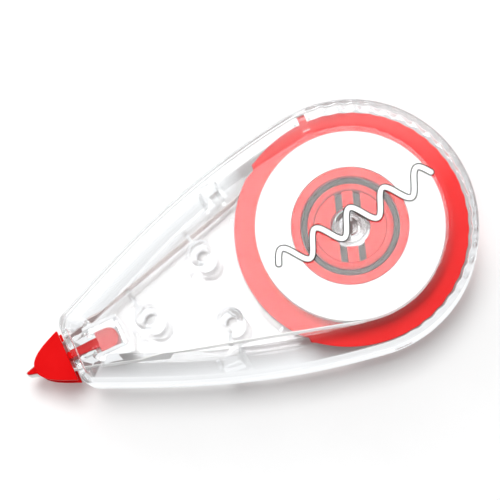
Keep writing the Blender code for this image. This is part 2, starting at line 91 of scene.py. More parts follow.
# Ribbon runs: steps of the straight part and of the wrap round the tip's edge, and the gap to the
# reel's surface.
STRAIGHT_STEPS = 70
WRAP_STEPS = 10
RIBBON_CLEARANCE = 0.15 * MM

# Smoothing: the angles in degrees above which an edge stays sharp, and the weight of large faces.
SHARP_ANGLE = 32.0
SHELL_SHARP = 20.0
FACE_WEIGHT = 60

# The photo's sideways and upright directions, seen on the floor.
IMAGE_RIGHT = Vector((0.9103, -0.4139, 0.0))
IMAGE_UP = Vector((0.4139, 0.9103, 0.0))
UP = Vector((0.0, 0.0, 1.0))
TOWARDS_SOFTBOX = (IMAGE_UP * 0.8 - IMAGE_RIGHT * 0.6).normalized()
AWAY_FROM_SOFTBOX = -TOWARDS_SOFTBOX
TOWARDS_CURTAIN = (IMAGE_UP * 0.95 - IMAGE_RIGHT * 0.3).normalized()

# Camera: what it looks at, its lean off the vertical in degrees, and its lens in millimetres.
VIEW_WIDTH = 82.52 * MM
VIEW_CENTRE = Vector((-16.62, 3.69, 9.0)) * MM
LEAN_RIGHT = 3.35
LEAN_DOWN = 5.85
LENS = 250.0

# Clear plastic: refraction, the part of the mirror share that is left out, the weaker mirroring on
# slopes that face away from the softbox, the light that the far walls pass on, and a painted glow. The
# glow is an emission in place of piped light, given off by the far walls, the funnel slopes and rays
# caught deep in the plastic.
PLASTIC_IOR = 1.5
WAVINESS = 0.01 * MM
MIRROR_CUT = 0.018
LOWEST_GAIN = 0.2
GLOW_COLOUR = (0.97, 0.985, 1.0, 1.0)
GLOW_STRENGTH = 1.04
WALL_GLOW = 0.85
SLOPE_GLOW = 0.7
CAUGHT_AFTER = 8.5
FACE_PASSES = 0.985
WALL_PASSES = 0.45

# World: brightness of the tent, of the curtain in mirrored rays, and of both as a source of light.
AIM_HEIGHT = 0.35
TENT_LOW = 0.85
TENT_HIGH = 1.05
CURTAIN_STRENGTH = 4.5
AMBIENT_SHARE = 0.44
HORIZON_STRENGTH = 0.3

# Lights: distances and sizes in metres, powers in watts.
LIT_CENTRE = Vector((-16.6, 3.5, 0.0)) * MM
PANEL_PLACE = LIT_CENTRE + TOWARDS_SOFTBOX * 0.25 + UP * 0.9
PANEL_SIZE = (0.95, 0.95)
PANEL_POWER = 1.2
SOFTBOX_PLACE = LIT_CENTRE + TOWARDS_CURTAIN * 0.2 + UP * 0.9
SOFTBOX_SIZE = (0.34, 0.34)
SOFTBOX_POWER = 6.1
FILL_PLACE = LIT_CENTRE + TOWARDS_SOFTBOX * 0.9 + UP * 0.4
FILL_SIZE = (0.8, 0.4)
FILL_POWER = 2.0

# Floor.
FLOOR_REACH = 3.0
FLOOR_Z = -0.02 * MM

# Print on the front face.
PRINT_MIDDLE = Vector((1.2, 0.7)) * MM
PRINT_LENGTH = 29.0 * MM
WAVE_HEIGHT = 1.9 * MM
WAVE_COUNT = 4.5
WAVE_STEPS = 240


# ---------------------------------------------------------------- materials


def new_material(name):
    """An empty node material and its output."""
    made = bpy.data.materials.new(name)
    made.use_nodes = True
    made.node_tree.nodes.clear()
    output = made.node_tree.nodes.new("ShaderNodeOutputMaterial")
    return made, made.node_tree, output


def node(tree, kind, inputs=None, **settings):
    """Adds one node, with its settings and its unlinked input values."""
    made = tree.nodes.new(kind)
    for key, value in settings.items():
        setattr(made, key, value)
    for key, value in (inputs or {}).items():
        made.inputs[key].default_value = value
    return made


def link(tree, source, target):
    """Joins an output to an input."""
    tree.links.new(source, target)


def object_place(tree):
    """Where the shaded point lies, in object space."""
    return node(tree, "ShaderNodeTexCoord").outputs["Object"]


def noise(tree, scale, detail=3.0, roughness=0.55, vector=None):
    """A noise texture's grey output, in object space."""
    made = node(tree, "ShaderNodeTexNoise", {"Scale": scale, "Detail": detail, "Roughness": roughness})
    link(tree, vector or object_place(tree), made.inputs["Vector"])
    return made.outputs["Fac"]


def mapped(tree, value, start, end, low=0.0, high=1.0):
    """Maps start to end onto low to high, and holds the ends."""
    settings = {"From Min": start, "From Max": end, "To Min": low, "To Max": high}
    made = node(tree, "ShaderNodeMapRange", settings)
    link(tree, value, made.inputs["Value"])
    return made.outputs["Result"]


def between(tree, factor, low, high):
    """Maps a 0 to 1 value onto low to high."""
    return mapped(tree, factor, 0.0, 1.0, low, high)


def tones(tree, factor, stops):
    """A colour ramp with (position, colour) stops."""
    ramp = node(tree, "ShaderNodeValToRGB")
    elements = ramp.color_ramp.elements
    while len(elements) < len(stops):
        elements.new(0.5)
    for element, (position, colour) in zip(elements, stops):
        element.position = position
        element.color = (*colour, 1.0)
    link(tree, factor, ramp.inputs["Fac"])
    return ramp.outputs["Color"]


def bump(tree, height, distance, strength):
    """A normal that follows a height pattern."""
    made = node(tree, "ShaderNodeBump", {"Strength": strength, "Distance": distance})
    link(tree, height, made.inputs["Height"])
    return made.outputs["Normal"]


def feed(tree, value, socket):
    """Sets an input to a number, or links it to an output."""
    if isinstance(value, (int, float)):
        socket.default_value = value
    else:
        link(tree, value, socket)


def math_node(tree, operation, first, second=None, clamp=False):
    """One step of maths on outputs or numbers."""
    made = node(tree, "ShaderNodeMath", operation=operation, use_clamp=clamp)
    feed(tree, first, made.inputs[0])
    if second is not None:
        feed(tree, second, made.inputs[1])
    return made.outputs[0]


def split_axes(tree, vector):
    """A vector's X, Y and Z outputs."""
    made = node(tree, "ShaderNodeSeparateXYZ")
    link(tree, vector, made.inputs[0])
    return made.outputs


def along_direction(tree, vector, direction):
    """The dot product of a vector and a fixed direction."""
    made = node(tree, "ShaderNodeVectorMath", operation="DOT_PRODUCT")
    made.inputs[1].default_value = tuple(direction)
    link(tree, vector, made.inputs[0])
    return made.outputs["Value"]


def mixed(tree, factor, first, second):
    """Mixes two shaders."""
    mix = node(tree, "ShaderNodeMixShader")
    feed(tree, factor, mix.inputs["Fac"])
    link(tree, first, mix.inputs[1])
    link(tree, second, mix.inputs[2])
    return mix.outputs[0]


def turned_away(tree, start, end, low, high):
    """Maps how far a face turns away from the softbox onto low to high."""
    normal = node(tree, "ShaderNodeTexCoord").outputs["Normal"]
    return mapped(tree, along_direction(tree, normal, AWAY_FROM_SOFTBOX), start, end, low, high)


def steep_look(tree):
    """1 for rays that run down the walls, 0 for rays that cross them."""
    incoming = node(tree, "ShaderNodeNewGeometry").outputs["Incoming"]
    rise = math_node(tree, "ABSOLUTE", split_axes(tree, incoming)["Z"])
    return mapped(tree, rise, 0.55, 0.8)


def towards_tip(tree):
    """0 beside the reels, 1 over the funnel."""
    return mapped(tree, split_axes(tree, object_place(tree))["X"], -12.5 * MM, -17.0 * MM)


def reflection_gain(tree):
    """Slopes that face away from the softbox mirror less, except for light inside the plastic."""
    gain = turned_away(tree, 0.1, 0.35, 1.0, LOWEST_GAIN)
    inside = node(tree, "ShaderNodeNewGeometry").outputs["Backfacing"]
    extra = math_node(tree, "SUBTRACT", 1.0, gain)
    kept = math_node(tree, "MULTIPLY", extra, inside)
    return math_node(tree, "ADD", gain, kept)


def clear_body(tree, passing):
    """The refracting and mirroring part of the clear plastic."""
    rough = between(tree, noise(tree, 900.0, 2.0), 0.0, 0.03)
    surface = bump(tree, noise(tree, 120.0, 1.0), WAVINESS, 1.0)
    colour = (passing, passing + 0.003, passing + 0.005, 1.0)
    bent = node(tree, "ShaderNodeBsdfRefraction", {"Color": colour, "IOR": PLASTIC_IOR})
    mirror = node(tree, "ShaderNodeBsdfGlossy", {"Color": (1.0, 1.0, 1.0, 1.0)})
    for shader in (bent, mirror):
        link(tree, rough, shader.inputs["Roughness"])
        link(tree, surface, shader.inputs["Normal"])
    fresnel = node(tree, "ShaderNodeFresnel", {"IOR": PLASTIC_IOR})
    spare = math_node(tree, "SUBTRACT", fresnel.outputs[0], MIRROR_CUT, clamp=True)
    share = math_node(tree, "MULTIPLY", spare, reflection_gain(tree), clamp=True)
    return mixed(tree, share, bent.outputs[0], mirror.outputs[0])


def clear_plastic(name, passing):
    """Clear moulded plastic that lets lamp light straight through, less of it through the far walls.

    Rays caught deep inside the plastic get a painted glow, an emission. So do the far walls and the
    slopes over the funnel when they are looked at from above or below. The glow stands in for piped
    light.
    """
    made, tree, output = new_material(name)
    glass = clear_body(tree, passing)
    path = node(tree, "ShaderNodeLightPath")
    # Painted glow: an emission that stands in for light piped through the plastic.
    glow = node(tree, "ShaderNodeEmission", {"Color": GLOW_COLOUR, "Strength": GLOW_STRENGTH})
    caught = math_node(tree, "GREATER_THAN", path.outputs["Ray Depth"], CAUGHT_AFTER)
    wall = turned_away(tree, 0.6, 0.9, 0.0, 1.0)
    sides = math_node(tree, "MULTIPLY", wall, WALL_GLOW)
    slope = turned_away(tree, 0.3, 0.46, 0.0, SLOPE_GLOW)
    slopes = math_node(tree, "MULTIPLY", slope, towards_tip(tree))
    either = math_node(tree, "MAXIMUM", sides, slopes)
    painted_wall_glow = math_node(tree, "MULTIPLY", either, steep_look(tree))
    lit = math_node(tree, "MAXIMUM", caught, painted_wall_glow)
    glowing = mixed(tree, lit, glass, glow.outputs[0])
    passed = tones(tree, wall, [(0.0, (FACE_PASSES,) * 3), (1.0, (WALL_PASSES,) * 3)])
    straight = node(tree, "ShaderNodeBsdfTransparent")
    link(tree, passed, straight.inputs["Color"])
    lamp = math_node(tree, "MAXIMUM", path.outputs["Is Shadow Ray"], path.outputs["Is Diffuse Ray"])
    link(tree, mixed(tree, lamp, glowing, straight.outputs[0]), output.inputs["Surface"])
    return made


def moulded(name, dark, light, roughness=(0.25, 0.4), grain_scale=1400.0, grain=0.000004, gloss=0.2):
    """Opaque moulded plastic or rubber: slow colour drift, fine surface grain."""
    made, tree, output = new_material(name)
    settings = {"IOR": PLASTIC_IOR, "Specular IOR Level": gloss}
    shader = node(tree, "ShaderNodeBsdfPrincipled", settings)
    drift = noise(tree, 160.0, 4.0)
    link(tree, tones(tree, drift, [(0.3, dark), (0.7, light)]), shader.inputs["Base Color"])
    fine = noise(tree, grain_scale, 3.0)
    link(tree, between(tree, fine, *roughness), shader.inputs["Roughness"])
    link(tree, bump(tree, fine, grain, 0.6), shader.inputs["Normal"])
    link(tree, shader.outputs[0], output.inputs["Surface"])
    return made


def radius_value(tree):
    """Distance from the reel axle."""
    axes = split_axes(tree, object_place(tree))
    flat = node(tree, "ShaderNodeCombineXYZ")
    link(tree, axes["X"], flat.inputs["X"])
    link(tree, axes["Y"], flat.inputs["Y"])
    length = node(tree, "ShaderNodeVectorMath", operation="LENGTH")
    link(tree, flat.outputs[0], length.inputs[0])
    return length.outputs["Value"]


def wound(name, dark, light, roughness):
    """Tape wound on a reel: fine rings of uneven edges."""
    made, tree, output = new_material(name)
    shader = node(tree, "ShaderNodeBsdfPrincipled", {"IOR": 1.45})
    line = node(tree, "ShaderNodeCombineXYZ")
    link(tree, radius_value(tree), line.inputs["X"])
    rings = noise(tree, 9000.0, 2.0, 0.7, line.outputs[0])
    bands = noise(tree, 700.0, 2.0, 0.5, line.outputs[0])
    both = math_node(tree, "MULTIPLY", rings, bands)
    link(tree, tones(tree, both, [(0.1, dark), (0.35, light)]), shader.inputs["Base Color"])
    link(tree, between(tree, rings, *roughness), shader.inputs["Roughness"])
    link(tree, bump(tree, rings, 0.00001, 0.35), shader.inputs["Normal"])
    link(tree, shader.outputs[0], output.inputs["Surface"])
    return made


def film(name, tint, clarity):
    """Thin bare ribbon: the clarity share of the light goes straight on, the rest meets its skin."""
    made, tree, output = new_material(name)
    streaks = noise(tree, 420.0, 5.0)
    colour = tones(tree, streaks, [(0.25, tuple(0.88 * c for c in tint)), (0.75, tint)])
    skin = node(tree, "ShaderNodeBsdfPrincipled", {"Roughness": 0.25, "IOR": PLASTIC_IOR})
    link(tree, colour, skin.inputs["Base Color"])
    through = node(tree, "ShaderNodeBsdfTransparent")
    link(tree, colour, through.inputs["Color"])
    link(tree, mixed(tree, clarity, skin.outputs[0], through.outputs[0]), output.inputs["Surface"])
    return made


# ---------------------------------------------------------------- mesh tools


def mesh_object(name, points, faces, material, sharp=SHARP_ANGLE, even=True):
    """A smooth-shaded object made of points and faces, with outward normals."""
    bm = bmesh.new()
    corners = [bm.verts.new(point) for point in points]
    for face in faces:
        bm.faces.new([corners[index] for index in face])
    bmesh.ops.recalc_face_normals(bm, faces=bm.faces)
    mesh = bpy.data.meshes.new(name)
    bm.to_mesh(mesh)
    bm.free()
    shade(mesh, sharp)
    made = bpy.data.objects.new(name, mesh)
    bpy.context.scene.collection.objects.link(made)
    if material:
        mesh.materials.append(material)
    if even:
        even_normals(made)
    return made


def shade(mesh, sharp):
    """Smooth shading, with edges above the given angle in degrees kept sharp."""
    mesh.shade_smooth()
    mesh.set_sharp_from_angle(angle=math.radians(sharp))


def even_normals(obj):
    """Lets the large faces set the normals, so that softened edges don't dent them."""
    weigh = obj.modifiers.new("even_normals", "WEIGHTED_NORMAL")
    weigh.keep_sharp = True
    weigh.weight = FACE_WEIGHT


def rounded_path(points, radius, steps=4, closed=True):
    """Rounds the corners of a plane path. The radius is one size, or one for each corner."""
    count = len(points)
    radii = radius if isinstance(radius, (list, tuple)) else [radius] * count
    made = []
    for index, (here, size) in enumerate(zip(points, radii)):
        inner = closed or 0 < index < count - 1
        if not inner or size <= 0:
            made.append(tuple(here))
            continue
        corner = Vector(here)
        before = Vector(points[index - 1]) - corner
        after = Vector(points[(index + 1) % count]) - corner
        angle = before.angle(after)
        if angle > math.radians(178):
            made.append(tuple(here))
            continue
        reach = min(size / math.tan(angle / 2), before.length * 0.48, after.length * 0.48)
        start = corner + before.normalized() * reach
        end = corner + after.normalized() * reach
        for step in range(steps + 1):
            t = step / steps
            point = start * (1 - t) ** 2 + corner * 2 * t * (1 - t) + end * t * t
            made.append(tuple(point))
    return made


def strip(rings, closed_along=False):
    """Faces that join rings of equal length."""
    count = len(rings[0])
    faces = []
    spans = len(rings) if closed_along else len(rings) - 1
    for row in range(spans):
        first = row * count
        second = ((row + 1) % len(rings)) * count
        for index in range(count):
            after = (index + 1) % count
            faces.append((first + index, first + after, second + after, second + index))
    return faces


def lathe(name, profile, material, steps=160, centre=(0.0, 0.0), closed=True, **look):
    """Revolves a (radius, height) profile. An open one starts and ends on the axis."""
    rings = []
    for radius, height in profile:
        ring = []
        for step in range(steps):
            angle = 2 * math.pi * step / steps
            x = centre[0] + radius * math.cos(angle)
            y = centre[1] + radius * math.sin(angle)
            ring.append((x, y, height))
        rings.append(ring)
    faces = strip(rings, closed_along=closed)
    points = [point for ring in rings for point in ring]
    if not closed:
        faces.append(tuple(range(steps)))
        last = (len(rings) - 1) * steps
        faces.append(tuple(reversed(range(last, last + steps))))
    return mesh_object(name, points, faces, material, **look)


def plain_ring(name, radii, heights, material, edge, steps=160):
    """A ring of rectangular section with softened edges, its sizes in millimetres."""
    outer, inner = (radius * MM for radius in radii)
    bottom, top = (height * MM for height in heights)
    section = [(outer, top), (outer, bottom), (inner, bottom), (inner, top)]
    return lathe(name, rounded_path(section, edge * MM), material, steps)


def stud(name, centre, radius, bottom, top):
    """A round solid standing on Z, its top edge softened."""
    edge = 0.15 * MM
    profile = [(radius, bottom), (radius, top - edge)]
    profile += [
        (radius - edge + edge * math.cos(a), top - edge + edge * math.sin(a))
        for a in (math.pi / 6, math.pi / 3, math.pi / 2)
    ]
    return lathe(name, profile, None, 48, centre, closed=False)


def prism(name, first, second, material=None):
    """A solid between two outlines with the same number of points."""
    count = len(first)
    faces = [tuple(reversed(range(count))), tuple(range(count, 2 * count))]
    faces += [(i, (i + 1) % count, count + (i + 1) % count, count + i) for i in range(count)]
    return mesh_object(name, first + second, faces, material)


def slab(name, outline, bottom, top, material=None, edge=0.0):
    """An upright solid with the given plan and, if asked, softened edges."""
    below = [(x, y, bottom) for x, y in outline]
    above = [(x, y, top) for x, y in outline]
    made = prism(name, below, above, material)
    if edge:
        soften(made, edge)
    return made


def soften(obj, width):
    """Bevels the hard edges before any other modifier."""
    bevel = obj.modifiers.new("edge", "BEVEL")
    bevel.width = width
    bevel.segments = 3
    bevel.limit_method = "ANGLE"
    bevel.angle_limit = math.radians(40)
    obj.modifiers.move(len(obj.modifiers) - 1, 0)


def block(name, low, high, edge=0.0):
    """An upright box between two opposite corners."""
    outline = [(low[0], low[1]), (high[0], low[1]), (high[0], high[1]), (low[0], high[1])]
    return slab(name, outline, low[2], high[2], edge=edge)


def bake(obj):
    """Applies an object's modifiers to its mesh."""
    bpy.context.view_layer.update()
    evaluated = obj.evaluated_get(bpy.context.evaluated_depsgraph_get())
    mesh = bpy.data.meshes.new_from_object(evaluated)
    obj.modifiers.clear()
    obj.data = mesh
    return obj


def merge(base, added=(), cut=(), sharp=SHARP_ANGLE):
    """Joins and cuts solids into the base with exact Booleans, and removes the helpers."""
    helpers = [bake(other) for other in list(added) + list(cut)]
    for other in helpers:
        modifier = base.modifiers.new(other.name, "BOOLEAN")
        modifier.operation = "UNION" if other in added else "DIFFERENCE"
        modifier.solver = "EXACT"
        modifier.object = other
    material = base.data.materials[0]
    bake(base)
    for other in helpers:
        bpy.data.objects.remove(other)
    base.data.materials.clear()
    base.data.materials.append(material)
    shade(base.data, sharp)
    even_normals(base)
    return base


def arc(centre, radius, start, end, steps):
    """Points round a centre, from one angle in degrees to another."""
    angles = [math.radians(start + (end - start) * i / steps) for i in range(steps + 1)]
    return [(centre[0] + radius * math.cos(a), centre[1] + radius * math.sin(a)) for a in angles]


def bezier(start, start_handle, end_handle, end, steps):
    """Points along a cubic curve."""
    knots = np.array([start, start_handle, end_handle, end], float)
    t = np.linspace(0.0, 1.0, steps + 1)[:, None]
    curve = (
        (1 - t) ** 3 * knots[0]
        + 3 * t * (1 - t) ** 2 * knots[1]
        + 3 * t * t * (1 - t) * knots[2]
        + t**3 * knots[3]
    )
    return [tuple(point) for point in curve]


def travelled(line):
    """The distance along a path at each of its points."""
    return np.concatenate([[0.0], np.cumsum(np.linalg.norm(np.diff(line, axis=0), axis=1))])


def spaced(path, count):
    """The same path with evenly spaced points."""
    line = np.array(path, float)
    gone = travelled(line)
    wanted = np.linspace(0.0, gone[-1], count)
    return np.stack([np.interp(wanted, gone, line[:, axis]) for axis in range(line.shape[1])], axis=1)


# ---------------------------------------------------------------- casing


def flank():
    """One long side of the plan as far as the shoulder, and its inward directions."""
    leave = math.radians(ROUND_END_ANGLE)
    start = Vector((math.cos(leave), math.sin(leave))) * CASE_RADIUS
    along = Vector((-math.sin(leave), math.cos(leave)))
    slope = shoulder_direction()
    shoulder = Vector(SHOULDER)
    curve = bezier(start, start + along * 18.0 * MM, shoulder - slope * 12.0 * MM, shoulder, 90)
    side = np.array(curve)
    ahead = np.gradient(side, axis=0)
    ahead[0] = along
    ahead[-1] = slope
    ahead /= np.linalg.norm(ahead, axis=1)[:, None]
    return side, np.stack([-ahead[:, 1], ahead[:, 0]], axis=1)


def shoulder_direction():
    """The plan's direction at the shoulder, towards the nose."""
    return Vector((-1.0, -SHOULDER_SLOPE)).normalized()


def teardrop(inset, ripple):
    """The casing plan drawn in by an inset, always as the same number of points."""
    turn = np.radians(np.linspace(0.0, ROUND_END_ANGLE, 99))
    fade = np.clip((np.radians(90.0) - turn) * 6.0, 0.0, 1.0)
    radius = CASE_RADIUS - inset + ripple * np.sin(turn * RIPPLE_TURNS) * fade
    round_end = np.stack([radius * np.cos(turn), radius * np.sin(turn)], axis=1)
    side, inward = flank()
    drawn_in = side + inward * inset
    slope = np.array(shoulder_direction())
    corner = drawn_in[-1] + slope * ((NOSE_X + inset - drawn_in[-1, 0]) / slope[0])
    size = NOSE_CORNER - inset * 0.2
    turn_start = corner - slope * size
    turn_end = corner - np.array((0.0, size))
    run = spaced(np.vstack([drawn_in, turn_start]), 72)
    handles = (turn_start * 0.4 + corner * 0.6, turn_end * 0.4 + corner * 0.6)
    bend = np.array(bezier(turn_start, *handles, turn_end, 10))
    middle = np.array((NOSE_X + inset, 0.0))
    nose = np.array([turn_end + (middle - turn_end) * t for t in np.linspace(0.0, 1.0, 8)])
    upper = np.vstack([round_end[:-1], run, bend[1:], nose[1:]])
    lower = upper[1:-1][::-1] * np.array((1.0, -1.0))
    return np.vstack([upper, lower])


def shell_section():
    """(inset, height) pairs: out along the flat face, down the bevel and wall, and back inside."""
    slope = BEVEL_DROP / BEVEL_WIDTH
    lift = CASE_WALL * math.hypot(1.0, slope)
    rim_z = BEVEL_DROP + lift - CASE_WALL * slope
    top = SEAM_Z - SEAM_GAP / 2
    corners = [
        (BEVEL_WIDTH + 0.9 * MM, 0.0),
        (BEVEL_WIDTH, 0.0),
        (0.0, BEVEL_DROP),
        (0.0, top),
        (CASE_WALL, top),
        (CASE_WALL, rim_z),
        (BEVEL_WIDTH - 0.05 * MM, CASE_WALL),
        (BEVEL_WIDTH + 1.2 * MM, CASE_WALL),
    ]
    radii = [0, 0, 0.8 * MM, 0.2 * MM, 0.15 * MM, 0.5 * MM, 0, 0]
    return rounded_path(corners, radii, 5, closed=False)


def tray(name, material, flipped):
    """One clear shell before its inner features."""
    rings = []
    for inset, height in shell_section():
        inner = inset > CASE_WALL * 0.9 and height > CASE_WALL * 1.5
        plan = teardrop(inset, RIPPLE if inner else 0.0)
        z = CASE_HEIGHT - height if flipped else CASE_BOTTOM + height
        rings.append([(x, y, z) for x, y in plan])
    count = len(rings[0])
    faces = strip(rings)
    faces.append(tuple(range(count)))
    last = (len(rings) - 1) * count
    faces.append(tuple(reversed(range(last, last + count))))
    points = [point for row in rings for point in row]
    return mesh_object(name, points, faces, material, sharp=SHELL_SHARP, even=False)


def from_front(depth):
    """The height of a point that lies the given depth under the front face."""
    return CASE_HEIGHT - depth


def cradle(name, low, high):
    """The fork that holds the tip's neck and head."""
    inner = ((-49.0, 1.35), (-46.1, 1.35), (-46.1, 2.15), (-41.6, 2.15))
    outer = ((-41.0, 2.75), (-46.9, 2.75), (-46.9, 2.1), (-49.0, 2.1))
    outline = [(x * MM, y * MM) for x, y in inner]
    outline += [(x * MM, -y * MM) for x, y in reversed(inner)]
    outline += [(x * MM, -y * MM) for x, y in reversed(outer)]
    outline += [(x * MM, y * MM) for x, y in outer]
    return slab(name, rounded_path(outline, 0.25 * MM, 3), low, high, edge=0.12 * MM)


def nose_cut(name):
    """The opening in the nose that the tip comes out of."""
    low = (NOSE_X - 1.0 * MM, -3.4 * MM, 3.6 * MM)
    high = (NOSE_X + CASE_WALL + 0.3 * MM, 3.4 * MM, 11.4 * MM)
    return block(name, low, high, edge=0.4 * MM)


def rim_rib(name, low_x, high_x):
    """A rib under the bevel, from the flat face out into the wall."""
    side = [(17.0, 3.6), (20.4, 3.6), (20.4, 2.2), (17.4, 0.9), (17.0, 0.9)]
    ends = [[(x, y * MM, from_front(depth * MM)) for y, depth in side] for x in (low_x, high_x)]
    return prism(name, *ends)


def latch_places():
    """x, side, half width and the y span of the two inner snap latches."""
    upper = (-19.0 * MM, 1, 1.5 * MM, 12.9 * MM, 16.7 * MM)
    lower = (-26.8 * MM, -1, 2.2 * MM, 10.3 * MM, 14.1 * MM)
    return upper, lower


def build_back_shell(clear):
    """The shell under the take-up reel, with the axle, the pin sockets and the latch ribs."""
    shell = tray("back_shell_clear", clear, flipped=False)
    inside = PLATE_INSIDE
    added = [
        plain_ring("axle", (2.95, 1.75), (inside / MM, 12.3), None, 0.25, steps=64),
        stud("axle_floor", (0.0, 0.0), 2.0 * MM, inside, 3.0 * MM),
    ]
    for index, centre in enumerate(POST_CENTRES):
        outer = [(1.9 * MM, 8.0 * MM), (1.9 * MM, inside)]
        inner = [(1.3 * MM, inside), (1.3 * MM, 8.0 * MM)]
        profile = rounded_path(outer + inner, 0.12 * MM)
        added.append(lathe(f"post_{index}", profile, None, 48, centre))
        added.append(stud(f"post_floor_{index}", centre, 1.5 * MM, inside, 2.4 * MM))
    added.append(cradle("back_cradle", inside, SEAM_Z - 0.15 * MM))
    guard = arc((0, 0), 20.3 * MM, 150, 210, 40) + arc((0, 0), 19.5 * MM, 210, 150, 40)
    added.append(slab("guard", guard, inside, 6.4 * MM, edge=0.12 * MM))
    pad_low = (-45.0 * MM, -0.8 * MM, inside)
    pad_high = (-42.8 * MM, 0.8 * MM, 4.9 * MM)
    added.append(block("back_pad", pad_low, pad_high, edge=0.1 * MM))
    for index, (x, side, half, near, far) in enumerate(latch_places()):
        span = sorted((side * near, side * far))
        for end in (-1, 1):
            middle = x + end * half
            low = (middle - 0.35 * MM, span[0], 2.6 * MM)
            high = (middle + 0.35 * MM, span[1], 6.9 * MM)
            added.append(block(f"back_latch_{index}_{end}", low, high, edge=0.12 * MM))
    cut = [nose_cut("back_nose")]
    for side in (-1, 1):
        span = sorted((side * 18.8 * MM, side * 22.0 * MM))
        low = (-1.5 * MM, span[0], 5.0 * MM)
        high = (1.5 * MM, span[1], 9.0 * MM)
        cut.append(block(f"notch_{side}", low, high))
    return merge(shell, added, cut, SHELL_SHARP)


def build_front_shell(clear):
    """The shell over the supply reel, with the pins, the ribs and the latch tongues."""
    shell = tray("front_shell_clear", clear, flipped=True)
    inside = from_front(PLATE_INSIDE)
    added = [
        stud("front_axle_pin", (0.0, 0.0), 1.4 * MM, 4.6 * MM, inside),
        stud("front_axle_collar", (0.0, 0.0), 2.6 * MM, from_front(2.3 * MM), inside),
    ]
    for index, centre in enumerate(POST_CENTRES):
        added.append(stud(f"front_base_{index}", centre, 2.2 * MM, from_front(6.7 * MM), inside))
        added.append(stud(f"front_pin_{index}", centre, 1.0 * MM, 3.3 * MM, inside))
    added.append(cradle("front_cradle", SEAM_Z + 0.15 * MM, inside))
    for name, x, y, bottom in (
        ("cross_rib", (-39.6, -38.9), (-4.8, -1.0), 8.6),
        ("post_rib", (-27.2, -26.5), (0.8, 3.8), 9.0),
    ):
        low = (x[0] * MM, y[0] * MM, bottom * MM)
        added.append(block(name, low, (x[1] * MM, y[1] * MM, inside), edge=0.12 * MM))
    added.append(rim_rib("rim_rib", -0.7 * MM, 0.6 * MM))
    for index, (x, side, half, _, far) in enumerate(latch_places()):
        span = sorted((side * (far - 1.75 * MM), side * (far - 0.75 * MM)))
        reach = half - 0.65 * MM
        low = (x - reach, span[0], 3.0 * MM)
        high = (x + reach, span[1], from_front(2.2 * MM))
        added.append(block(f"front_latch_{index}", low, high, edge=0.12 * MM))
    for side in (-1, 1):
        span = sorted((side * 19.95 * MM, side * 20.95 * MM))
        low = (-1.2 * MM, span[0], 5.3 * MM)
        high = (1.2 * MM, span[1], 11.0 * MM)
        added.append(block(f"rim_tab_{side}", low, high, edge=0.1 * MM))
    return merge(shell, added, [nose_cut("front_nose")], SHELL_SHARP)


# ---------------------------------------------------------------- reels


def build_takeup_reel(red):
    """The hub, the large flange and the drum under it, on six spokes."""
    profile = [
        (6.45 * MM, 12.9 * MM),
        (7.05 * MM, 12.3 * MM),
        (7.05 * MM, 7.6 * MM),
        (FLANGE_RADIUS, 7.6 * MM),
        (FLANGE_RADIUS, 7.0 * MM),
        (15.9 * MM, 7.0 * MM),
        (15.9 * MM, 1.5 * MM),
        (14.7 * MM, 1.5 * MM),
        (14.7 * MM, 7.0 * MM),
        (4.5 * MM, 7.0 * MM),
        (4.5 * MM, 2.0 * MM),
        (3.3 * MM, 2.0 * MM),
        (3.3 * MM, 7.6 * MM),
        (6.05 * MM, 7.6 * MM),
        (6.05 * MM, 12.7 * MM),
    ]
    reel = lathe("takeup_reel_red", rounded_path(profile, 0.15 * MM, 3), red, 180)
    spokes = []
    for index in range(6):
        low = (4.1 * MM, -0.4 * MM, 3.0 * MM)
        high = (15.2 * MM, 0.4 * MM, 7.3 * MM)
        spoke = block(f"spoke_{index}", low, high)
        spoke.rotation_euler = (0, 0, math.radians(60 * index + 5))
        spokes.append(spoke)
    return merge(reel, spokes)


def build_retainer(red):
    """The cap on the hub, with two pairs of slits."""
    profile = [
        (5.9 * MM, 12.2 * MM),
        (5.9 * MM, 8.2 * MM),
        (5.0 * MM, 8.2 * MM),
        (5.0 * MM, 11.2 * MM),
        (3.3 * MM, 11.2 * MM),
        (3.3 * MM, 12.2 * MM),
    ]
    retainer = lathe("hub_retainer_red", rounded_path(profile, 0.12 * MM, 3), red, 120)
    slits = []
    for index, (x, y) in enumerate(((-1.5, 1), (1.5, 1), (-1.5, -1), (1.5, -1))):
        span = sorted((y * 2.6 * MM, y * 6.0 * MM))
        low = ((x - 0.6) * MM, span[0], 10.0 * MM)
        high = ((x + 0.6) * MM, span[1], 13.0 * MM)
        slit = block(f"slit_{index}", low, high)
        slit.rotation_euler = (0, 0, math.radians(-18.1))
        slits.append(slit)
    return merge(retainer, [], slits)


def rubber_ring(name, z, rubber):
    """A ring of round section on the hub."""
    section = arc((7.62 * MM, z), 0.45 * MM, 0, 345, 23)
    return lathe(name, section, rubber, 160, even=False)


# ---------------------------------------------------------------- tape and tip


def ribbon_nose_radius():
    """Radius of a ribbon's middle line round the wedge's edge."""
    return TIP_NOSE_RADIUS + 0.13 * MM


def tangent(reel_radius, side):
    """Direction from tip to reel and outward normal of a ribbon run."""
    climb = math.asin((reel_radius - ribbon_nose_radius()) / -TIP_NOSE_X)
    direction = Vector((math.cos(climb), side * math.sin(climb)))
    normal = Vector((-math.sin(climb), side * math.cos(climb)))
    return direction, normal


def ribbon_path(reel_radius, side):
    """Plan path from the tangent point on a reel to the middle of the wedge's edge."""
    _, normal = tangent(reel_radius, side)
    start = normal * reel_radius
    wrap = ribbon_nose_radius()
    end = Vector((TIP_NOSE_X, 0.0)) + normal * wrap
    straight = [start + (end - start) * i / STRAIGHT_STEPS for i in range(STRAIGHT_STEPS + 1)]
    begin = math.degrees(math.atan2(normal.y, normal.x))
    turn = arc((TIP_NOSE_X, 0.0), wrap, begin, 180.0 * side, WRAP_STEPS)
    return [tuple(p) for p in straight] + turn[1:]


